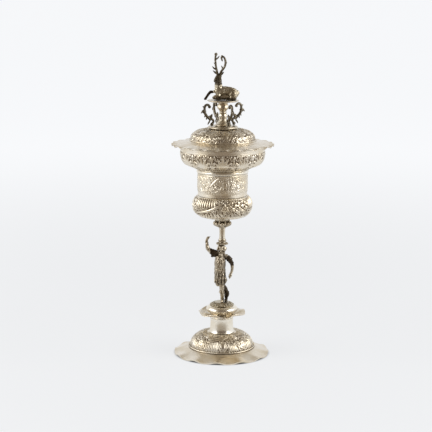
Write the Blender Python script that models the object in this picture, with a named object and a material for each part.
"""Covered silver standing cup on a figure stem, with a lift-off cover and a stag finial.

Metres, +Z up, front towards -Y. The origin lies on the table under the middle of the foot.
Left and right are the viewer's, seen from the front.
"""

import math

import bmesh
import bpy
from mathutils import Matrix, Vector

MM = 0.001
FULL_TURN = 2.0 * math.pi
FRONT = -0.5 * math.pi  # angle of the -Y direction

# Fits shared by many pieces
SHEET = 0.9 * MM  # raised silver sheet of foot, bowl and cover
SEAT = 0.3 * MM  # gap between a piece and the piece that carries it
ROD_CLEARANCE = 0.3 * MM  # round a threaded rod
BOWL_COLUMNS = 32  # faces round the bowl's pieces
STEM_COLUMNS = 20  # faces round the foot's and finial's turned pieces
ROD_COLUMNS = 16  # faces round rods and nuts
DRILL_PAST = 1.0 * MM  # how far a drill runs past both faces

# Foot
FOOT_RADIUS = 54.9 * MM
FOOT_HEIGHT = 25.0 * MM
FOOT_DOME_RADIUS = 36.6 * MM
FOOT_FLANGE_RISE = 7.6 * MM  # height where the flange meets the dome
FOOT_FILLET = 0.7 * MM  # between dome and flange
FOOT_PANELS = 3  # the embossed pattern goes round three times
FOOT_BOSS_RADIUS = 5.4 * MM
FOOT_BOSS_HEIGHT = 0.9 * MM
FOOT_BOSSES = [  # in a panel: degrees from the front, share of dome radius and of height, slope
    (-37.6, 0.65, 0.97, 78.0),
    (-45.4, 0.92, 0.70, 40.0),
    (34.4, 0.67, 0.96, 76.0),
    (45.4, 0.93, 0.68, 38.0),
    (2.3, 0.94, 0.66, 36.0),
]
FOOT_EDGE = 1.1 * MM  # thickness of the flange at its edge
FOOT_REST_WIDTH = 3.4 * MM  # flat band under the edge
FOOT_WAVES = 12
FOOT_WAVE_LIFT = 1.9 * MM
FOOT_WAVE_TURN = math.radians(-6.0)  # a lifted point, from the front
COLUMNS_PER_WAVE = 5

# Spool, collar, cushion and mound above the foot
SPOOL_HEIGHT = 19.4 * MM
SPOOL_FOOT_RADIUS = 14.6 * MM
SPOOL_WAIST_RADIUS = 13.2 * MM
SPOOL_WALL = 1.2 * MM
COLLAR_RADIUS = 27.8 * MM
COLLAR_THICKNESS = 1.5 * MM
COLLAR_DISH = 3.4 * MM  # rise of the petals' tips
COLLAR_PETALS = 6
COLUMNS_PER_PETAL = 6
COLLAR_WAVE = 1.3 * MM
COLLAR_LOBE = 1.0 * MM
COLLAR_TURN = math.radians(40.0)  # a petal's high point, from the front
CUSHION_RADIUS = 18.2 * MM
CUSHION_HEIGHT = 10.2 * MM
MOUND_RADIUS = 14.2 * MM
MOUND_HEIGHT = 3.7 * MM
MOUND_TOP_RADIUS = 8.2 * MM

# Threaded rod, washer and wing nut of the foot
FOOT_ROD_RADIUS = 2.5 * MM
FOOT_ROD_GRIP = 2.4 * MM  # depth of the blind hole in the mound
FOOT_ROD_END = 3.0 * MM  # rod showing below the wing nut
FOOT_WASHER_RADIUS = 9.0 * MM
FOOT_WASHER_THICKNESS = 1.2 * MM
WING_NUT_RADIUS = 5.0 * MM
WING_NUT_HEIGHT = 6.0 * MM
WING_SPAN = 11.0 * MM  # from the axis to a wing's tip
WING_THICKNESS = 2.0 * MM

# Cast figure, laid out in heads: eight heads stand in its height
FIGURE_HEIGHT = 67.1 * MM
HEADS = 8.0
FIGURE_VOXEL = 0.9 * MM
FIGURE_KEEP = 0.115  # share of the faces that the finished casting keeps

# Basket, column and calyx between figure and bowl
BASKET_RADIUS = 6.8 * MM
BASKET_HEIGHT = 5.7 * MM
COLUMN_RADIUS = 3.7 * MM
COLUMN_WAIST_RADIUS = 3.3 * MM
COLUMN_HEIGHT = 14.7 * MM
CALYX_RADIUS = 9.9 * MM
CALYX_HEIGHT = 10.2 * MM
CALYX_LEAVES = 8
COLUMNS_PER_LEAF = 5
CALYX_LEAF_DEPTH = 0.9 * MM
BOWL_ROD_RADIUS = 1.6 * MM
BOWL_ROD_GRIP = 3.5 * MM  # depth of the blind hole in the basket
BOWL_PLATE_RADIUS = 8.0 * MM
BOWL_PLATE_THICKNESS = 0.7 * MM

# Bowl
BULB_RADIUS = 34.3 * MM
BULB_HEIGHT = 25.9 * MM
DRUM_RADIUS = 28.7 * MM
DRUM_HEIGHT = 25.5 * MM
DRUM_STEP = 0.4 * MM  # how much narrower the drum is at its bottom
RING_BEAD = 1.2 * MM  # how far the ring stands out of the drum
RING_RADIUS = DRUM_RADIUS + RING_BEAD
RING_HEIGHT = 3.8 * MM
LIP_HEIGHT = 26.6 * MM
RIM_RADIUS = 49.0 * MM  # the mouth of the bowl, over its wire
RIM_BEAD = 0.7 * MM  # how far the wire stands out of the lip
RIM_HEIGHT = 2.4 * MM
LIP_RADIUS = RIM_RADIUS - RIM_BEAD

# Cover
BRIM_RADIUS = 58.7 * MM
BRIM_SLOPE = 0.179  # rise of the brim towards the dome, per unit of radius
BRIM_SCALLOPS = 24
BRIM_WAVE = 0.9 * MM
BRIM_PLAIN = 1.6 * MM  # plain brim between the bowl's rim and the scallops
BRIM_WAVE_START = RIM_RADIUS + BRIM_PLAIN
COLUMNS_PER_SCALLOP = 3
DOME_RADIUS = 37.0 * MM
DOME_HEIGHT = 16.6 * MM  # top of the dome above the rim that carries the cover
DOME_FILLET = 3.0 * MM  # between dome and brim
DOME_TOP_FLAT = 1.2 * MM  # flat round the finial's base
DOME_PANELS = 12
DOME_TURN = 8.0  # degrees from the front to the first boss
DOME_BOSS_RADIUS = 5.4 * MM
DOME_BOSS_HEIGHT = 0.6 * MM
DOME_BOSS = (0.77, 0.88, 60.0)  # share of dome radius and of dome height, slope
BEZEL_DEPTH = 8.0 * MM
BEZEL_CLEARANCE = 0.6 * MM  # between the bezel and the bowl's wall

# Finial: base, vase, brackets and disc
FINIAL_BASE_RADIUS = 17.2 * MM
FINIAL_BASE_HEIGHT = 3.0 * MM
VASE_RADIUS = 9.8 * MM
VASE_HEIGHT = 27.1 * MM
BRACKETS = 4
BRACKET_TURN = math.radians(26.0)
BRACKET_BAR = 1.3 * MM  # radius of the cast scroll
BRACKET_REACH = 22.6 * MM  # from the finial's axis to the stem of the scroll
VOLUTE_RADIUS = 3.8 * MM
FOOT_SCROLL_RADIUS = 2.6 * MM
BRACKET_PEARL = 1.8 * MM  # radius of the ball at the scroll's upper end
BRACKET_FOOT_PEARL = 2.0 * MM  # radius of the ball that it stands on
BRACKET_GAP = 1.05 * MM  # between the vase's foot and a bracket's foot scroll
DISC_RADIUS = 18.2 * MM
DISC_THICKNESS = 1.9 * MM

# Rod, washer and nut inside the cover
FINIAL_ROD_RADIUS = 1.5 * MM
FINIAL_ROD_GRIP = 18.0 * MM  # depth of the blind hole in the vase
FINIAL_ROD_END = 1.0 * MM
FINIAL_WASHER_RADIUS = 5.5 * MM
FINIAL_WASHER_THICKNESS = 1.0 * MM
FINIAL_NUT_RADIUS = 4.0 * MM
FINIAL_NUT_HEIGHT = 3.0 * MM

# Cast stag, laid out on a pattern that is 53.3 parts high from the disc to the antler's top
STAG_HEIGHT = 53.3 * MM
STAG_PATTERN_HEIGHT = 53.3
STAG_VOXEL = 0.8 * MM
STAG_KEEP = 0.115

# Heights of the stack of the lower cup
SPOOL_Z = FOOT_HEIGHT + SEAT
COLLAR_Z = SPOOL_Z + SPOOL_HEIGHT + SEAT
CUSHION_Z = COLLAR_Z + COLLAR_THICKNESS + SEAT
MOUND_Z = CUSHION_Z + CUSHION_HEIGHT + SEAT
FIGURE_Z = MOUND_Z + MOUND_HEIGHT + SEAT
BASKET_Z = FIGURE_Z + FIGURE_HEIGHT + SEAT
COLUMN_Z = BASKET_Z + BASKET_HEIGHT + SEAT
CALYX_Z = COLUMN_Z + COLUMN_HEIGHT + SEAT
PLATE_Z = CALYX_Z + CALYX_HEIGHT + SEAT
BULB_Z = PLATE_Z + BOWL_PLATE_THICKNESS + SEAT
DRUM_Z = BULB_Z + BULB_HEIGHT + SEAT
RING_Z = DRUM_Z + DRUM_HEIGHT + SEAT
LIP_Z = RING_Z + RING_HEIGHT + SEAT
RIM_Z = LIP_Z + LIP_HEIGHT + SEAT
COVER_Z = RIM_Z + RIM_HEIGHT + SEAT

# Heights of the stack of the cover, above the rim that carries it
FINIAL_BASE_Z = DOME_HEIGHT + SEAT
VASE_Z = FINIAL_BASE_Z + FINIAL_BASE_HEIGHT + SEAT
DISC_Z = VASE_Z + VASE_HEIGHT + SEAT
STAG_Z = DISC_Z + DISC_THICKNESS + SEAT

# Silver finishes: colour and roughness
POLISHED = ((0.86, 0.82, 0.74), 0.22)
EMBOSSED = ((0.80, 0.75, 0.64), 0.32)
CAST = ((0.62, 0.55, 0.42), 0.40)
FIXING = ((0.70, 0.60, 0.40), 0.45)


def start_empty():
    """Remove what the scene holds."""
    for obj in list(bpy.data.objects):
        bpy.data.objects.remove(obj, do_unlink=True)


def frame(name, location):
    """An empty that carries the pieces which move together."""
    empty = bpy.data.objects.new(name, None)
    empty.location = location
    bpy.context.scene.collection.objects.link(empty)
    return empty


def finish(name, shape, finish_values, parent, location=(0.0, 0.0, 0.0)):
    """Turn a bmesh into a named silver piece on its parent."""
    mesh = bpy.data.meshes.new(name)
    shape.to_mesh(mesh)
    shape.free()
    mesh.shade_smooth()
    mesh.set_sharp_from_angle(angle=math.radians(35.0))
    colour, roughness = finish_values
    material = bpy.data.materials.new(name + "_silver")
    material.use_nodes = True
    surface = material.node_tree.nodes["Principled BSDF"]
    surface.inputs["Base Color"].default_value = (*colour, 1.0)
    surface.inputs["Metallic"].default_value = 1.0
    surface.inputs["Roughness"].default_value = roughness
    mesh.materials.append(material)
    piece = bpy.data.objects.new(name, mesh)
    piece.parent = parent
    piece.location = location
    bpy.context.scene.collection.objects.link(piece)
    return piece


def cutter_from(name, shape, parent, location):
    """A guide for a Boolean, hidden and drawn as wire."""
    mesh = bpy.data.meshes.new(name)
    shape.to_mesh(mesh)
    shape.free()
    guide = bpy.data.objects.new(name, mesh)
    guide.parent = parent
    guide.location = location
    guide.hide_render = True
    guide.display_type = "WIRE"
    bpy.context.scene.collection.objects.link(guide)
    return guide


def boolean(piece, guide, operation):
    """Join or cut a piece with a guide."""
    modifier = piece.modifiers.new(guide.name, "BOOLEAN")
    modifier.operation = operation
    modifier.solver = "EXACT"
    modifier.object = guide


def offset_outline(outline, distance):
    """Move an outline sideways, to the left of its direction where distance is positive."""
    moved = []
    for index, point in enumerate(outline):
        here = Vector(point)
        before = Vector(outline[index - 1]) if index else here
        after = Vector(outline[index + 1]) if index + 1 < len(outline) else here
        into = (here - before).normalized() if index else (after - here).normalized()
        out = (after - here).normalized() if after != here else into
        left_in = Vector((-into.y, into.x))
        left_out = Vector((-out.y, out.x))
        shift = (left_in + left_out) / (1.0 + left_in.dot(left_out))
        moved.append(tuple(here + distance * shift))
    return moved


def sheet_outline(outline, wall):
    """Closed outline of a sheet: the outer side and, a wall away, the inner side."""
    return outline + offset_outline(outline, wall)[::-1]


def turned(outline, columns):
    """Spin an outline of (radius, height) points; one that leaves the axis closes on itself."""
    shape = bmesh.new()
    points = [shape.verts.new((radius, 0.0, height)) for radius, height in outline]
    pairs = list(zip(points, points[1:]))
    if outline[0][0] > 0.0:
        pairs.append((points[-1], points[0]))
    edges = [shape.edges.new(pair) for pair in pairs]
    bmesh.ops.spin(
        shape,
        geom=points + edges,
        cent=(0.0, 0.0, 0.0),
        axis=(0.0, 0.0, 1.0),
        angle=FULL_TURN,
        steps=columns,
        use_merge=True,
    )
    bmesh.ops.remove_doubles(shape, verts=shape.verts, dist=1e-7)
    bmesh.ops.recalc_face_normals(shape, faces=shape.faces)
    return shape


def plain_rod(radius, bottom, top):
    """Outline of a solid rod."""
    return [(0.0, bottom), (radius, bottom), (radius, top), (0.0, top)]


def plain_ring(bore, radius, height):
    """Outline of a flat ring."""
    return [(bore, 0.0), (radius, 0.0), (radius, height), (bore, height)]


def polar(point):
    """Radius, and angle round +Z counted from the front."""
    return math.hypot(point.x, point.y), math.atan2(point.y, point.x) - FRONT


def smooth_line(points, steps):
    """Points of a smooth curve through (x, y, z, radius) points."""
    padded = [Vector(point) for point in [points[0], *points, points[-1]]]
    line = []
    for before, start, end, after in zip(padded, padded[1:], padded[2:], padded[3:]):
        for step in range(steps):
            t = step / steps
            line.append(
                start
                + 0.5 * t * (end - before)
                + t * t * (before - 2.5 * start + 2.0 * end - 0.5 * after)
                + t * t * t * (1.5 * start - 0.5 * before - 1.5 * end + 0.5 * after)
            )
    line.append(padded[-1])
    return line


def add_bar(shape, points, steps=3, sides=6):
    """Add a tapering round bar through (x, y, z, radius) points to a bmesh."""
    curve = bpy.data.curves.new("bar", "CURVE")
    curve.dimensions = "3D"
    curve.bevel_depth = 1.0
    curve.bevel_resolution = (sides - 4) // 2
    curve.use_fill_caps = True
    line = smooth_line(points, steps)
    spline = curve.splines.new("POLY")
    spline.points.add(len(line) - 1)
    for knot, point in zip(spline.points, line):
        knot.co = (point[0], point[1], point[2], 1.0)
        knot.radius = point[3]
    guide = bpy.data.objects.new("bar", curve)
    mesh = bpy.data.meshes.new_from_object(guide)
    shape.from_mesh(mesh)
    bpy.data.objects.remove(guide)
    bpy.data.curves.remove(curve)
    bpy.data.meshes.remove(mesh)


def add_ball(shape, centre, radii, segments=12):
    """Add an ellipsoid to a bmesh."""
    ball = bmesh.ops.create_uvsphere(shape, u_segments=segments, v_segments=segments // 2, radius=1.0)
    bmesh.ops.scale(shape, vec=radii, verts=ball["verts"])
    bmesh.ops.translate(shape, vec=centre, verts=ball["verts"])


def closed_bar(points, steps=3, sides=6):
    """A bar as a closed bmesh of its own, for a Boolean."""
    shape = bmesh.new()
    add_bar(shape, points, steps, sides)
    bmesh.ops.remove_doubles(shape, verts=shape.verts, dist=1e-7)
    bmesh.ops.recalc_face_normals(shape, faces=shape.faces)
    return shape


def scaled(points, unit):
    """Points laid out in a unit, in metres."""
    return [tuple(unit * value for value in point) for point in points]


def add_casting_skin(piece, voxel, keep):
    """Melt the joined shapes of a casting into one skin with few faces."""
    melt = piece.modifiers.new("melt", "REMESH")
    melt.mode = "VOXEL"
    melt.voxel_size = voxel
    thin = piece.modifiers.new("thin", "DECIMATE")
    thin.ratio = keep


def cut_beyond(piece, point, direction, size):
    """Cut a piece off flat, half a seat short of a point, with a cube that lies beyond it."""
    along = Vector(direction).normalized()
    box = bmesh.new()
    bmesh.ops.create_cube(box, size=size)
    turn = along.to_track_quat("Z", "Y").to_matrix().to_4x4()
    centre = Vector(point) + along * (0.5 * size - 0.5 * SEAT)
    bmesh.ops.transform(box, matrix=Matrix.Translation(centre) @ turn, verts=box.verts)
    name = f"cut_{len(piece.modifiers)}_{piece.name}"
    boolean(piece, cutter_from(name, box, piece.parent, piece.location), "DIFFERENCE")


def emboss(shape, boss, height, reach):
    """Push a round boss out of a sheet; boss is (degrees from the front, radius, height, slope)."""
    angle = math.radians(boss[0]) + FRONT
    slope = math.radians(boss[3])
    across = Vector((math.cos(angle), math.sin(angle), 0.0))
    centre = across * boss[1] + Vector((0.0, 0.0, boss[2]))
    out = across * math.cos(slope) + Vector((0.0, 0.0, math.sin(slope)))
    for vert in shape.verts:
        share = (vert.co - centre).length / reach
        if share < 1.0:
            vert.co += out * height * (1.0 - share * share)


def make_foot_dome(cup):
    """Raised foot: an embossed dome in a flange whose edge is bent into waves."""
    bore = FOOT_ROD_RADIUS + ROD_CLEARANCE
    dome = FOOT_DOME_RADIUS
    top = FOOT_HEIGHT
    flange = FOOT_RADIUS - dome
    outer = [
        (bore, top),
        (SPOOL_FOOT_RADIUS + SHEET, top),
        (0.52 * dome, top),
        (0.62 * dome, 0.98 * top),
        (0.73 * dome, 0.93 * top),
        (0.82 * dome, 0.85 * top),
        (0.89 * dome, 0.75 * top),
        (0.95 * dome, 0.64 * top),
        (0.99 * dome, 0.50 * top),
        (dome, FOOT_FLANGE_RISE + 2.0 * FOOT_FILLET),
        (dome + FOOT_FILLET, FOOT_FLANGE_RISE),
        (dome + 0.5 * flange, 0.5 * FOOT_FLANGE_RISE),
        (FOOT_RADIUS, FOOT_EDGE),
    ]
    inner = offset_outline(outer, -SHEET)[:-1]
    band = [(FOOT_RADIUS, 0.0), (FOOT_RADIUS - FOOT_REST_WIDTH, 0.0)]
    shape = turned(outer + band + inner[::-1], FOOT_WAVES * COLUMNS_PER_WAVE)
    low = math.cos(math.pi * (COLUMNS_PER_WAVE - 1) / COLUMNS_PER_WAVE)
    for vert in shape.verts:
        radius, angle = polar(vert.co)
        share = max(0.0, (radius - dome - FOOT_FILLET) / (flange - FOOT_FILLET))
        wave = math.cos(FOOT_WAVES * (angle - FOOT_WAVE_TURN))
        vert.co.z += share * FOOT_WAVE_LIFT * max(0.0, (wave - low) / (1.0 - low))
    for panel in range(FOOT_PANELS):
        for degrees, out, up, slope in FOOT_BOSSES:
            turn = degrees + panel * 360.0 / FOOT_PANELS
            emboss(shape, (turn, out * dome, up * top, slope), FOOT_BOSS_HEIGHT, FOOT_BOSS_RADIUS)
    return finish("foot_dome", shape, EMBOSSED, cup)


def make_spool(cup):
    """Polished hollow spool, drawn in at its waist."""
    foot, waist, height = SPOOL_FOOT_RADIUS, SPOOL_WAIST_RADIUS, SPOOL_HEIGHT
    outer = [
        (1.08 * waist, height),
        (1.01 * waist, 0.84 * height),
        (waist, 0.62 * height),
        (1.02 * waist, 0.40 * height),
        (0.5 * (foot + waist), 0.18 * height),
        (foot, 0.0),
    ]
    inner = [(radius - SPOOL_WALL, z) for radius, z in outer]
    shape = turned(outer + inner[::-1], STEM_COLUMNS)
    return finish("foot_spool", shape, POLISHED, cup, (0, 0, SPOOL_Z))


def make_collar(cup):
    """Thin dished flange cut and bent into petals."""
    bore = FOOT_ROD_RADIUS + ROD_CLEARANCE
    edge, dish, thick = COLLAR_RADIUS, COLLAR_DISH, COLLAR_THICKNESS
    tip = 0.6 * thick
    outline = [
        (bore, 0.0),
        (0.48 * edge, 0.0),
        (0.66 * edge, 0.2 * dish),
        (0.84 * edge, 0.6 * dish),
        (edge, dish),
        (edge, dish + tip),
        (0.84 * edge, 0.6 * dish + tip),
        (0.66 * edge, 0.2 * dish + tip),
        (0.52 * edge, thick),
        (bore, thick),
    ]
    shape = turned(outline, COLLAR_PETALS * COLUMNS_PER_PETAL)
    for vert in shape.verts:
        radius, angle = polar(vert.co)
        share = max(0.0, (radius - 0.5 * edge) / (0.5 * edge))
        petal = math.cos(COLLAR_PETALS * (angle - COLLAR_TURN))
        vert.co.z += share * share * COLLAR_WAVE * petal
        out = 1.0 - share * COLLAR_LOBE * (0.5 + 0.5 * petal) / edge
        vert.co.x *= out
        vert.co.y *= out
    return finish("spool_collar", shape, EMBOSSED, cup, (0, 0, COLLAR_Z))


def make_cushion(cup):
    """Round knop ring that bulges out above its narrow foot."""
    bore = FOOT_ROD_RADIUS + ROD_CLEARANCE
    wide, height = CUSHION_RADIUS, CUSHION_HEIGHT
    outline = [
        (bore, 0.0),
        (0.74 * wide, 0.0),
        (0.80 * wide, 0.13 * height),
        (0.93 * wide, 0.32 * height),
        (wide, 0.55 * height),
        (0.97 * wide, 0.76 * height),
        (0.88 * wide, 0.92 * height),
        (0.76 * wide, height),
        (bore, height),
    ]
    shape = turned(outline, BOWL_COLUMNS)
    return finish("spool_cushion", shape, POLISHED, cup, (0, 0, CUSHION_Z))


def make_mound(cup):
    """Little hill under the figure, with a blind hole for the rod."""
    bore = FOOT_ROD_RADIUS + ROD_CLEARANCE
    wide, height, top = MOUND_RADIUS, MOUND_HEIGHT, MOUND_TOP_RADIUS
    outline = [
        (0.0, FOOT_ROD_GRIP),
        (bore, FOOT_ROD_GRIP),
        (bore, 0.0),
        (0.97 * wide, 0.0),
        (wide, 0.14 * height),
        (0.92 * wide, 0.36 * height),
        (0.74 * wide, 0.74 * height),
        (top, height),
        (0.0, height),
    ]
    return finish("figure_mound", turned(outline, STEM_COLUMNS), EMBOSSED, cup, (0, 0, MOUND_Z))


def make_foot_fixing(cup):
    """Threaded rod up through the foot, with its washer and wing nut."""
    bore = FOOT_ROD_RADIUS + ROD_CLEARANCE
    washer_z = FOOT_HEIGHT - SHEET - SEAT - FOOT_WASHER_THICKNESS
    nut_z = washer_z - SEAT - WING_NUT_HEIGHT
    rod_z = nut_z - FOOT_ROD_END
    length = MOUND_Z + FOOT_ROD_GRIP - SEAT - rod_z
    rod = turned(plain_rod(FOOT_ROD_RADIUS, 0.0, length), ROD_COLUMNS)
    finish("foot_stud", rod, FIXING, cup, (0, 0, rod_z))
    washer = turned(plain_ring(bore, FOOT_WASHER_RADIUS, FOOT_WASHER_THICKNESS), STEM_COLUMNS)
    finish("foot_washer", washer, FIXING, cup, (0, 0, washer_z))
    hub = turned(
        [
            (bore, 0.0),
            (0.8 * WING_NUT_RADIUS, 0.0),
            (WING_NUT_RADIUS, WING_NUT_HEIGHT),
            (bore, WING_NUT_HEIGHT),
        ],
        ROD_COLUMNS,
    )
    nut = finish("foot_wing_nut", hub, FIXING, cup, (0, 0, nut_z))
    inner_end = 0.5 * (bore + WING_NUT_RADIUS)
    half = 0.5 * (WING_SPAN - inner_end)
    for side in (-1.0, 1.0):
        wing = bmesh.new()
        centre = (side * (inner_end + half), 0.0, 0.5 * WING_NUT_HEIGHT)
        add_ball(wing, centre, (half, 0.5 * WING_THICKNESS, 0.48 * WING_NUT_HEIGHT), segments=8)
        guide = cutter_from(f"wing_{side:+.0f}", wing, cup, nut.location)
        boolean(nut, guide, "UNION")


def cast_figure_piece(name, bars, balls, cup):
    """One casting of the figure from bars and ellipsoids given in heads."""
    head = FIGURE_HEIGHT / HEADS
    shape = bmesh.new()
    for bar in bars:
        add_bar(shape, scaled(bar, head), sides=8)
    for centre, radii in balls:
        add_ball(shape, *scaled((centre, radii), head))
    piece = finish(name, shape, CAST, cup, (0, 0, FIGURE_Z))
    add_casting_skin(piece, FIGURE_VOXEL, FIGURE_KEEP)
    return piece


def make_figure(cup):
    """Standing man in a belted tunic, one arm raised; trunk, head and arms are cast apart."""
    head = FIGURE_HEIGHT / HEADS
    trunk = [
        [
            (-0.27, 0.0, 3.9, 0.80),
            (-0.29, 0.0, 4.7, 0.76),
            (-0.26, 0.0, 5.8, 0.79),
            (-0.10, 0.0, 6.6, 0.50),
        ],
        [(-0.27, 0.0, 4.5, 0.76), (-0.23, 0.0, 3.6, 0.84), (-0.21, 0.0, 2.9, 0.84)],
        [(-0.50, 0.0, 3.2, 0.50), (-0.50, -0.05, 2.55, 0.38)],
        [(-0.74, 0.0, 6.45, 0.30), (-0.10, 0.0, 6.62, 0.36), (0.62, 0.0, 6.42, 0.32)],
        [(-0.12, 0.0, 6.5, 0.30), (-0.13, 0.0, 7.0, 0.26)],
    ]
    left_leg = [
        [
            (-0.22, -0.10, 3.2, 0.42),
            (-0.04, -0.26, 2.1, 0.35),
            (0.02, -0.10, 1.4, 0.33),
            (0.08, 0.0, 0.8, 0.29),
            (0.08, 0.05, 0.25, 0.27),
        ],
        [(0.07, 0.08, 0.18, 0.22), (0.02, -0.35, 0.18, 0.21), (-0.02, -0.70, 0.14, 0.16)],
        [(0.04, -0.06, 1.0, 0.32), (0.0, -0.12, 1.28, 0.37)],
    ]
    right_leg = [
        [
            (0.0, 0.20, 3.2, 0.38),
            (0.10, 0.22, 2.45, 0.30),
            (0.42, 0.22, 1.9, 0.31),
            (0.60, 0.30, 1.4, 0.30),
            (0.70, 0.38, 0.95, 0.32),
            (0.62, 0.45, 0.25, 0.23),
        ],
        [(0.60, 0.48, 0.18, 0.21), (0.56, 0.05, 0.18, 0.20), (0.52, -0.30, 0.14, 0.16)],
        [(0.70, 0.34, 0.8, 0.31), (0.70, 0.32, 1.1, 0.34)],
    ]
    body = cast_figure_piece("figure_body", trunk + left_leg + right_leg, [], cup)
    ruff = ((-0.14, 0.0, 6.98), (0.56, 0.54, 0.15))
    skull = ((-0.155, -0.04, 7.52), (0.40, 0.46, 0.50))
    hair = ((0.10, 0.12, 7.42), (0.57, 0.45, 0.47))
    neck = [(-0.13, 0.0, 6.7, 0.26), (-0.15, 0.0, 7.3, 0.28)]
    head_piece = cast_figure_piece("figure_head", [neck], [ruff, skull, hair], cup)
    arm_up = [
        [(-0.50, 0.0, 6.62, 0.38), (-1.12, -0.05, 6.85, 0.52), (-1.60, -0.10, 7.18, 0.38)],
        [(-1.50, -0.10, 7.18, 0.34), (-1.92, -0.10, 7.42, 0.31), (-2.11, -0.10, 8.10, 0.25)],
        [(-2.11, -0.10, 8.05, 0.25), (-2.10, -0.10, 8.75, 0.20), (-1.96, -0.13, 9.05, 0.20)],
        [(-2.02, -0.12, 8.95, 0.19), (-1.89, -0.14, 9.11, 0.17), (-1.75, -0.16, 9.24, 0.12)],
    ]
    raised_arm = cast_figure_piece("figure_raised_arm", arm_up, [], cup)
    arm_down = [
        [(0.50, 0.0, 6.44, 0.34), (0.92, 0.0, 6.08, 0.41), (1.22, 0.05, 5.65, 0.34)],
        [(1.20, 0.05, 5.70, 0.31), (1.39, 0.05, 5.25, 0.25), (1.42, 0.0, 4.80, 0.22)],
        [(1.42, 0.0, 4.85, 0.22), (1.35, -0.04, 4.30, 0.19), (1.23, -0.08, 3.88, 0.17)],
        [(1.23, -0.08, 3.92, 0.17), (1.14, -0.12, 3.60, 0.27), (1.08, -0.16, 3.30, 0.17)],
    ]
    lowered_arm = cast_figure_piece("figure_lowered_arm", arm_down, [], cup)
    neck_joint = Vector((-0.13, 0.0, 6.80)) * head
    up = Vector((0.0, 0.0, 1.0))
    cut_beyond(body, neck_joint, up, 2.0 * head)
    cut_beyond(head_piece, neck_joint, -up, 2.0 * head)
    left_joint = Vector((-0.80, 0.0, 6.75)) * head
    leftwards = Vector((-0.85, 0.0, 0.52))
    cut_beyond(body, left_joint, leftwards, 1.2 * head)
    cut_beyond(raised_arm, left_joint, -leftwards, 1.2 * head)
    right_joint = Vector((0.66, 0.0, 6.35)) * head
    rightwards = Vector((1.0, 0.0, 0.0))
    cut_beyond(body, right_joint, rightwards, 1.2 * head)
    cut_beyond(lowered_arm, right_joint, -rightwards, 1.2 * head)
    ground = Vector((0.0, 0.0, -0.5 * SEAT))
    cut_beyond(body, ground, -up, 3.0 * head)


def make_basket(cup):
    """Brim and capital on the figure's head, threaded for the bowl's stud."""
    bore = BOWL_ROD_RADIUS + ROD_CLEARANCE
    wide, height = BASKET_RADIUS, BASKET_HEIGHT
    neck = 0.68 * wide
    outline = [
        (0.0, 0.0),
        (0.55 * wide, 0.0),
        (wide, 0.16 * height),
        (wide, 0.32 * height),
        (0.78 * wide, 0.48 * height),
        (neck, 0.6 * height),
        (neck, height),
        (bore, height),
        (bore, height - BOWL_ROD_GRIP),
        (0.0, height - BOWL_ROD_GRIP),
    ]
    return finish("head_basket", turned(outline, STEM_COLUMNS), CAST, cup, (0, 0, BASKET_Z))


def make_column(cup):
    """Slim turned column."""
    bore = BOWL_ROD_RADIUS + ROD_CLEARANCE
    wide, waist, height = COLUMN_RADIUS, COLUMN_WAIST_RADIUS, COLUMN_HEIGHT
    outline = [
        (bore, 0.0),
        (1.23 * wide, 0.0),
        (wide, 0.08 * height),
        (waist, 0.5 * height),
        (1.18 * waist, 0.94 * height),
        (1.11 * wide, height),
        (bore, height),
    ]
    return finish("stem_column", turned(outline, ROD_COLUMNS), POLISHED, cup, (0, 0, COLUMN_Z))


def make_calyx(cup):
    """Cup of leaves whose tips curl out."""
    bore = BOWL_ROD_RADIUS + ROD_CLEARANCE
    wide, height = CALYX_RADIUS, CALYX_HEIGHT
    outline = [
        (bore, 0.0),
        (0.42 * wide, 0.0),
        (0.52 * wide, 0.12 * height),
        (0.86 * wide, 0.25 * height),
        (wide, 0.42 * height),
        (0.95 * wide, 0.56 * height),
        (0.86 * wide, 0.74 * height),
        (0.93 * wide, height),
        (bore, height),
    ]
    shape = turned(outline, CALYX_LEAVES * COLUMNS_PER_LEAF)
    for vert in shape.verts:
        radius, angle = polar(vert.co)
        share = max(0.0, (radius - 0.5 * wide) / (0.5 * wide))
        grow = 1.0 + share * CALYX_LEAF_DEPTH * math.cos(CALYX_LEAVES * angle) / wide
        vert.co.x *= grow
        vert.co.y *= grow
    return finish("bowl_calyx", shape, CAST, cup, (0, 0, CALYX_Z))


def make_bowl_stud(cup):
    """Threaded stud with a plate, under the bowl."""
    bottom = BASKET_Z + BASKET_HEIGHT - BOWL_ROD_GRIP + SEAT
    plate = PLATE_Z - bottom
    top = plate + BOWL_PLATE_THICKNESS
    outline = [
        (0.0, 0.0),
        (BOWL_ROD_RADIUS, 0.0),
        (BOWL_ROD_RADIUS, plate),
        (BOWL_PLATE_RADIUS, plate),
        (BOWL_PLATE_RADIUS, top),
        (0.0, top),
    ]
    return finish("bowl_stud", turned(outline, ROD_COLUMNS), FIXING, cup, (0, 0, bottom))


def make_bulb(cup):
    """Embossed bulging bottom of the bowl."""
    wide, height = BULB_RADIUS, BULB_HEIGHT
    outer = [
        (0.0, 0.0),
        (0.34 * wide, 0.0),
        (0.58 * wide, 0.02 * height),
        (0.73 * wide, 0.08 * height),
        (0.83 * wide, 0.15 * height),
        (0.91 * wide, 0.24 * height),
        (0.97 * wide, 0.37 * height),
        (wide, 0.53 * height),
        (0.99 * wide, 0.70 * height),
        (0.93 * wide, 0.87 * height),
        (DRUM_RADIUS, height),
    ]
    shape = turned(sheet_outline(outer, SHEET), BOWL_COLUMNS)
    return finish("bowl_bulb", shape, EMBOSSED, cup, (0, 0, BULB_Z))


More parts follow.
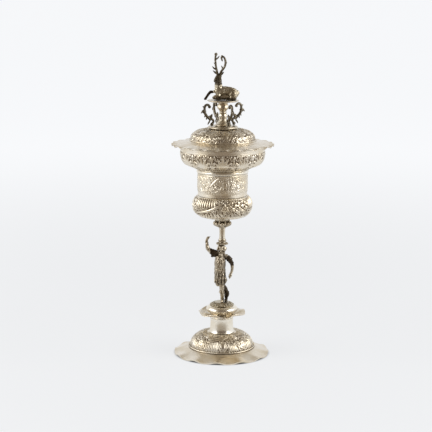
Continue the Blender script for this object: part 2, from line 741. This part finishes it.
def make_drum(cup):
    """Straight embossed wall, a little narrower at its bottom."""
    low = DRUM_RADIUS - DRUM_STEP
    outer = [
        (low, 0.0),
        (low, 0.12 * DRUM_HEIGHT),
        (DRUM_RADIUS, 0.3 * DRUM_HEIGHT),
        (DRUM_RADIUS, DRUM_HEIGHT),
    ]
    shape = turned(sheet_outline(outer, SHEET), BOWL_COLUMNS)
    return finish("bowl_drum", shape, EMBOSSED, cup, (0, 0, DRUM_Z))


def make_ring(cup):
    """Plain half-round ring between drum and lip."""
    inner = DRUM_RADIUS - SHEET
    half = 0.5 * RING_HEIGHT
    bead = RING_RADIUS - DRUM_RADIUS
    bulge = [
        (DRUM_RADIUS, 0.0),
        (DRUM_RADIUS + 0.75 * bead, 0.3 * half),
        (RING_RADIUS, 0.8 * half),
        (RING_RADIUS, 1.3 * half),
        (DRUM_RADIUS + 0.6 * bead, RING_HEIGHT),
    ]
    shape = turned([(inner, 0.0), *bulge, (inner, RING_HEIGHT)], BOWL_COLUMNS)
    return finish("bowl_ring", shape, POLISHED, cup, (0, 0, RING_Z))


def make_lip(cup):
    """Embossed lip that flares like a bell and ends upright."""
    start = 0.5 * (DRUM_RADIUS + RING_RADIUS)
    flare = LIP_RADIUS - start
    height = LIP_HEIGHT
    outer = [
        (start, 0.0),
        (start + 0.12 * flare, 0.04 * height),
        (start + 0.40 * flare, 0.14 * height),
        (start + 0.71 * flare, 0.24 * height),
        (start + 0.91 * flare, 0.42 * height),
        (LIP_RADIUS, 0.72 * height),
        (LIP_RADIUS, height),
    ]
    shape = turned(sheet_outline(outer, SHEET), BOWL_COLUMNS)
    return finish("bowl_lip", shape, EMBOSSED, cup, (0, 0, LIP_Z))


def make_rim(cup):
    """Wire that stiffens the mouth and carries the cover."""
    inner = LIP_RADIUS - SHEET
    outline = [
        (inner, 0.0),
        (LIP_RADIUS, 0.0),
        (RIM_RADIUS, 0.3 * RIM_HEIGHT),
        (RIM_RADIUS, 0.7 * RIM_HEIGHT),
        (LIP_RADIUS, RIM_HEIGHT),
        (inner, RIM_HEIGHT),
    ]
    return finish("bowl_rim", turned(outline, BOWL_COLUMNS), POLISHED, cup, (0, 0, RIM_Z))


def brim_top(radius):
    """Height of the brim's upper side, above the rim that carries it."""
    return SHEET + (LIP_RADIUS - radius) * BRIM_SLOPE


def make_cover_shell(cover):
    """Scalloped brim and embossed dome, raised from one sheet."""
    bore = FINIAL_ROD_RADIUS + ROD_CLEARANCE
    dome, top = DOME_RADIUS, DOME_HEIGHT
    foot = brim_top(dome + DOME_FILLET)
    wall = top - foot
    brim_span = BRIM_RADIUS - BRIM_WAVE_START
    outer = [
        (bore, top),
        (FINIAL_BASE_RADIUS + DOME_TOP_FLAT, top),
        (0.57 * dome, top - 0.015 * wall),
        (0.69 * dome, top - 0.07 * wall),
        (0.80 * dome, top - 0.165 * wall),
        (0.89 * dome, top - 0.29 * wall),
        (0.95 * dome, top - 0.43 * wall),
        (0.99 * dome, top - 0.59 * wall),
        (dome, foot + 0.22 * wall),
        (dome + 0.35 * DOME_FILLET, foot + 0.07 * wall),
        (dome + DOME_FILLET, foot),
        (BRIM_WAVE_START, brim_top(BRIM_WAVE_START)),
        (BRIM_WAVE_START + 0.5 * brim_span, brim_top(BRIM_WAVE_START + 0.5 * brim_span)),
        (BRIM_RADIUS, brim_top(BRIM_RADIUS)),
    ]
    shape = turned(sheet_outline(outer, -SHEET), BRIM_SCALLOPS * COLUMNS_PER_SCALLOP)
    for vert in shape.verts:
        radius, angle = polar(vert.co)
        share = max(0.0, (radius - BRIM_WAVE_START) / brim_span)
        vert.co.z += share * BRIM_WAVE * math.cos(BRIM_SCALLOPS * angle)
    out, up, slope = DOME_BOSS
    for panel in range(DOME_PANELS):
        turn = DOME_TURN + panel * 360.0 / DOME_PANELS
        emboss(shape, (turn, out * dome, up * top, slope), DOME_BOSS_HEIGHT, DOME_BOSS_RADIUS)
    return finish("cover_shell", shape, EMBOSSED, cover)


def make_bezel(cover):
    """Ring under the brim that centres the cover in the bowl's mouth."""
    outer = LIP_RADIUS - SHEET - BEZEL_CLEARANCE
    inner = outer - SHEET
    top = brim_top(outer) - SHEET - SEAT
    shape = turned(plain_ring(inner, outer, BEZEL_DEPTH), BOWL_COLUMNS)
    return finish("cover_bezel", shape, POLISHED, cover, (0, 0, top - BEZEL_DEPTH))


def make_finial_base(cover):
    """Low ring on the top of the dome."""
    bore = FINIAL_ROD_RADIUS + ROD_CLEARANCE
    wide, height = FINIAL_BASE_RADIUS, FINIAL_BASE_HEIGHT
    outline = [
        (bore, 0.0),
        (0.95 * wide, 0.0),
        (wide, 0.3 * height),
        (wide, 0.7 * height),
        (0.95 * wide, height),
        (bore, height),
    ]
    shape = turned(outline, STEM_COLUMNS)
    return finish("finial_base", shape, POLISHED, cover, (0, 0, FINIAL_BASE_Z))


def make_vase(cover):
    """Turned baluster between the base and the disc, drilled from below."""
    bore = FINIAL_ROD_RADIUS + ROD_CLEARANCE
    wide, height = VASE_RADIUS, VASE_HEIGHT
    outline = [
        (0.0, FINIAL_ROD_GRIP),
        (bore, FINIAL_ROD_GRIP),
        (bore, 0.0),
        (wide, 0.0),
        (0.78 * wide, 0.10 * height),
        (0.55 * wide, 0.19 * height),
        (0.46 * wide, 0.25 * height),
        (0.60 * wide, 0.42 * height),
        (0.40 * wide, 0.54 * height),
        (0.40 * wide, 0.60 * height),
        (0.53 * wide, 0.66 * height),
        (0.69 * wide, 0.76 * height),
        (0.63 * wide, 0.88 * height),
        (0.56 * wide, height),
        (0.0, height),
    ]
    return finish("finial_vase", turned(outline, STEM_COLUMNS), POLISHED, cover, (0, 0, VASE_Z))


def spiral(centre, radii, angles, bar, steps):
    """Flat (radius, height, bar radius) points of a scroll that tightens evenly."""
    points = []
    for step in range(steps + 1):
        share = step / steps
        reach = radii[0] + share * (radii[1] - radii[0])
        angle = math.radians(angles[0] + share * (angles[1] - angles[0]))
        points.append((centre[0] + reach * math.cos(angle), centre[1] + reach * math.sin(angle), bar))
    return points


def lifted(line, amount):
    """A flat line moved up."""
    return [(radius, height + amount, bar) for radius, height, bar in line]


def bracket_lines():
    """Lines of one scroll bracket in its own plane: the long scroll, its pearls and its leaves."""
    bar, top, reach = BRACKET_BAR, VASE_HEIGHT, BRACKET_REACH
    over, under = VOLUTE_RADIUS, FOOT_SCROLL_RADIUS
    foot_centre = VASE_RADIUS + BRACKET_GAP + bar + under
    volute = spiral((reach - over, 0.0), (over, 0.50 * over), (0.0, 170.0), bar, 5)
    volute = lifted(volute, top - SEAT - max(height + bar for _, height, _ in volute))
    foot = spiral((foot_centre, 0.0), (under, 0.95 * under), (50.0, 245.0), bar, 7)
    foot = lifted(foot, BRACKET_FOOT_PEARL + 1.3 * under)
    stem = [
        (reach, 0.66 * top, 1.1 * bar),
        (0.985 * reach, 0.54 * top, 1.1 * bar),
        (0.91 * reach, 0.44 * top, 1.2 * bar),
        (0.80 * reach, 0.35 * top, 1.2 * bar),
    ]
    outer_leaf = [
        (0.98 * reach, 0.61 * top, 0.9 * bar),
        (1.09 * reach, 0.65 * top, 1.1 * bar),
        (1.22 * reach, 0.59 * top, 0.3 * bar),
    ]
    spur = [(0.98 * reach, 0.80 * top, 0.8 * bar), (1.08 * reach, 0.84 * top, 0.3 * bar)]
    inner_leaf = [
        (0.77 * reach, 0.33 * top, 1.1 * bar),
        (0.70 * reach, 0.40 * top, 1.3 * bar),
        (0.63 * reach, 0.49 * top, 0.6 * bar),
    ]
    upper_pearl = (volute[-1][0], min(volute[-1][1], top - BRACKET_PEARL - SEAT), BRACKET_PEARL)
    lower_pearl = (foot_centre - 0.3 * under, BRACKET_FOOT_PEARL, BRACKET_FOOT_PEARL)
    return volute[::-1] + stem + foot, [outer_leaf, spur, inner_leaf], [upper_pearl, lower_pearl]


def make_brackets(cover):
    """Four cast scrolls that carry the disc."""
    scroll, leaves, pearls = bracket_lines()
    place = Vector((0.0, 0.0, VASE_Z))
    for index in range(BRACKETS):
        turn = FRONT + 0.5 * math.pi + BRACKET_TURN + index * FULL_TURN / BRACKETS
        across = Vector((math.cos(turn), math.sin(turn), 0.0))

        def upright(line):
            return [(*(across * radius)[:2], height, bar) for radius, height, bar in line]

        name = f"finial_bracket_{index + 1}"
        piece = finish(name, closed_bar(upright(scroll), steps=1), CAST, cover, place)
        for number, leaf in enumerate(leaves):
            bar = closed_bar(upright(leaf), steps=1)
            boolean(piece, cutter_from(f"leaf_{index + 1}_{number}", bar, cover, place), "UNION")
        for number, (radius, height, size) in enumerate(pearls):
            pearl = bmesh.new()
            centre = (across.x * radius, across.y * radius, height)
            add_ball(pearl, centre, (size, size, size), segments=8)
            boolean(piece, cutter_from(f"pearl_{index + 1}_{number}", pearl, cover, place), "UNION")


def make_disc(cover):
    """Plate that carries the stag."""
    wide, thick = DISC_RADIUS, DISC_THICKNESS
    outline = [
        (0.0, 0.0),
        (0.89 * wide, 0.0),
        (wide, 0.3 * thick),
        (wide, 0.75 * thick),
        (0.93 * wide, thick),
        (0.0, thick),
    ]
    return finish("finial_disc", turned(outline, BOWL_COLUMNS), POLISHED, cover, (0, 0, DISC_Z))


def make_finial_fixing(cover):
    """Threaded rod, washer and nut that hold the finial to the cover."""
    bore = FINIAL_ROD_RADIUS + ROD_CLEARANCE
    washer_z = DOME_HEIGHT - SHEET - SEAT - FINIAL_WASHER_THICKNESS
    nut_z = washer_z - SEAT - FINIAL_NUT_HEIGHT
    rod_z = nut_z - FINIAL_ROD_END
    length = VASE_Z + FINIAL_ROD_GRIP - SEAT - rod_z
    rod = turned(plain_rod(FINIAL_ROD_RADIUS, 0.0, length), ROD_COLUMNS)
    finish("finial_bolt", rod, FIXING, cover, (0, 0, rod_z))
    washer = turned(plain_ring(bore, FINIAL_WASHER_RADIUS, FINIAL_WASHER_THICKNESS), STEM_COLUMNS)
    finish("finial_washer", washer, FIXING, cover, (0, 0, washer_z))
    flats = turned(plain_rod(FINIAL_NUT_RADIUS, 0.0, FINIAL_NUT_HEIGHT), 6)
    nut = finish("finial_nut", flats, FIXING, cover, (0, 0, nut_z))
    drill = turned(plain_rod(bore, -DRILL_PAST, FINIAL_NUT_HEIGHT + DRILL_PAST), ROD_COLUMNS)
    boolean(nut, cutter_from("drill_finial_nut", drill, cover, nut.location), "DIFFERENCE")


def make_stag(cover):
    """Recumbent stag facing left, one foreleg stretched to the disc's edge; antlers are cast apart."""
    part = STAG_HEIGHT / STAG_PATTERN_HEIGHT
    place = Vector((0.0, 0.0, STAG_Z))
    bars = [
        [
            (12.8, 0.5, 6.8, 5.2),
            (9.0, 0.3, 9.0, 5.6),
            (3.0, 0.0, 10.4, 5.2),
            (-2.5, -0.5, 9.8, 5.6),
            (-5.6, -1.0, 10.2, 4.6),
        ],
        [(-4.8, -0.8, 11.5, 5.0), (-5.2, -1.0, 18.0, 4.4), (-5.2, -1.2, 24.5, 3.6)],
        [(-4.4, -1.2, 27.5, 3.0), (-6.6, -2.3, 25.4, 2.8), (-8.5, -3.2, 22.9, 2.2), (-9.2, -3.6, 21.9, 1.8)],
        [(-2.6, -2.8, 28.4, 0.9), (-0.8, -3.8, 30.4, 1.0), (0.9, -4.2, 32.2, 0.4)],
        [(-7.0, 0.3, 29.2, 0.9), (-9.6, 1.0, 31.2, 1.0), (-11.8, 1.5, 33.0, 0.4)],
        [(-6.3, 0.0, 29.0, 1.4), (-7.1, 0.8, 32.4, 1.3)],
        [(-3.5, -1.0, 29.0, 1.4), (-2.7, -1.2, 31.8, 1.3)],
        [
            (-6.5, -2.0, 9.2, 2.6),
            (-11.2, -2.4, 9.2, 1.8),
            (-14.4, -2.8, 8.9, 1.6),
            (-18.6, -3.0, 3.6, 1.3),
            (-20.0, -3.0, 1.0, 1.3),
        ],
        [(-5.0, -4.0, 5.5, 2.4), (-10.8, -4.6, 3.0, 1.6), (-6.0, -6.0, 1.3, 1.3), (-2.5, -6.4, 1.2, 1.2)],
        [(9.5, -5.0, 3.0, 2.0), (14.2, -5.6, 1.9, 1.5), (9.0, -6.6, 1.2, 1.2), (4.5, -7.0, 1.2, 1.2)],
        [(10.0, 4.6, 4.0, 2.6), (14.0, 5.4, 1.9, 1.5), (8.0, 6.2, 1.3, 1.2)],
        [(-5.0, 3.2, 5.0, 2.4), (-10.0, 4.2, 2.6, 1.5), (-5.0, 5.4, 1.3, 1.2)],
        [(14.2, 0.5, 9.6, 1.6), (16.6, 0.6, 8.6, 1.3), (17.6, 0.7, 6.4, 0.9)],
    ]
    balls = [
        ((11.2, -3.2, 6.0), (4.6, 2.8, 4.8)),
        ((11.0, 3.4, 6.0), (4.6, 2.8, 4.8)),
        ((2.0, 0.0, 3.0), (10.5, 4.6, 4.0)),
    ]
    shape = bmesh.new()
    for bar in bars:
        add_bar(shape, scaled(bar, part), sides=8)
    for centre, radii in balls:
        add_ball(shape, *scaled((centre, radii), part))
    stag = finish("stag_body", shape, CAST, cover, place)
    add_casting_skin(stag, STAG_VOXEL, STAG_KEEP)
    up = Vector((0.0, 0.0, 1.0))
    cut_beyond(stag, Vector((0.0, 0.0, -0.5 * SEAT)), -up, 0.9 * STAG_HEIGHT)
    antlers = {
        "stag_antler_left": (
            [
                (-7.1, 0.8, 32.0, 1.3),
                (-8.2, 1.6, 37.0, 1.25),
                (-8.6, 2.2, 41.1, 1.2),
                (-9.0, 2.6, 46.0, 1.15),
                (-8.5, 2.6, 50.6, 1.1),
            ],
            [
                [(-7.9, 1.2, 34.6, 0.95), (-10.4, 1.2, 35.4, 0.85), (-12.3, 1.2, 37.6, 0.4)],
                [(-9.0, 2.5, 46.0, 0.95), (-6.6, 2.2, 47.4, 0.8), (-4.4, 2.0, 49.4, 0.4)],
            ],
            ((-8.3, 2.6, 51.3), (2.0, 1.8, 2.0)),
        ),
        "stag_antler_right": (
            [
                (-2.7, -1.2, 31.4, 1.3),
                (1.2, -2.2, 36.9, 1.25),
                (2.6, -2.8, 42.1, 1.2),
                (1.4, -2.8, 47.4, 1.15),
                (-1.4, -2.6, 49.6, 1.05),
            ],
            [
                [(-0.2, -1.9, 34.9, 0.9), (-1.2, -1.9, 37.0, 0.75), (-2.2, -1.9, 38.8, 0.4)],
                [(-1.3, -2.6, 49.5, 1.0), (-1.8, -2.6, 46.9, 1.1), (-1.2, -2.6, 44.4, 0.7)],
            ],
            ((-1.4, -2.6, 49.6), (1.3, 1.2, 1.2)),
        ),
    }
    for name, (beam, tines, crown) in antlers.items():
        joint = Vector(beam[0][:3]) * part
        along = Vector(beam[1][:3]) * part - joint
        piece = finish(name, closed_bar(scaled(beam, part), steps=2), CAST, cover, place)
        for number, tine in enumerate(tines):
            bar = closed_bar(scaled(tine, part), steps=2)
            boolean(piece, cutter_from(f"{name}_tine_{number}", bar, cover, place), "UNION")
        knob = bmesh.new()
        add_ball(knob, *scaled(crown, part), segments=8)
        boolean(piece, cutter_from(f"{name}_crown", knob, cover, place), "UNION")
        cut_beyond(stag, joint, along, 2.8 * part)
        cut_beyond(piece, joint, -along, 2.8 * part)


def make_cup():
    """Everything that stands on the table."""
    cup = frame("cup", (0.0, 0.0, 0.0))
    make_foot_dome(cup)
    make_spool(cup)
    make_collar(cup)
    make_cushion(cup)
    make_mound(cup)
    make_foot_fixing(cup)
    make_figure(cup)
    make_basket(cup)
    make_column(cup)
    make_calyx(cup)
    make_bowl_stud(cup)
    make_bulb(cup)
    make_drum(cup)
    make_ring(cup)
    make_lip(cup)
    make_rim(cup)


def make_cover():
    """Everything that lifts off; its empty lies on the axis, at the rim that carries it."""
    cover = frame("cover", (0.0, 0.0, COVER_Z))
    make_cover_shell(cover)
    make_bezel(cover)
    make_finial_base(cover)
    make_vase(cover)
    make_brackets(cover)
    make_disc(cover)
    make_finial_fixing(cover)
    make_stag(cover)


start_empty()
make_cup()
make_cover()
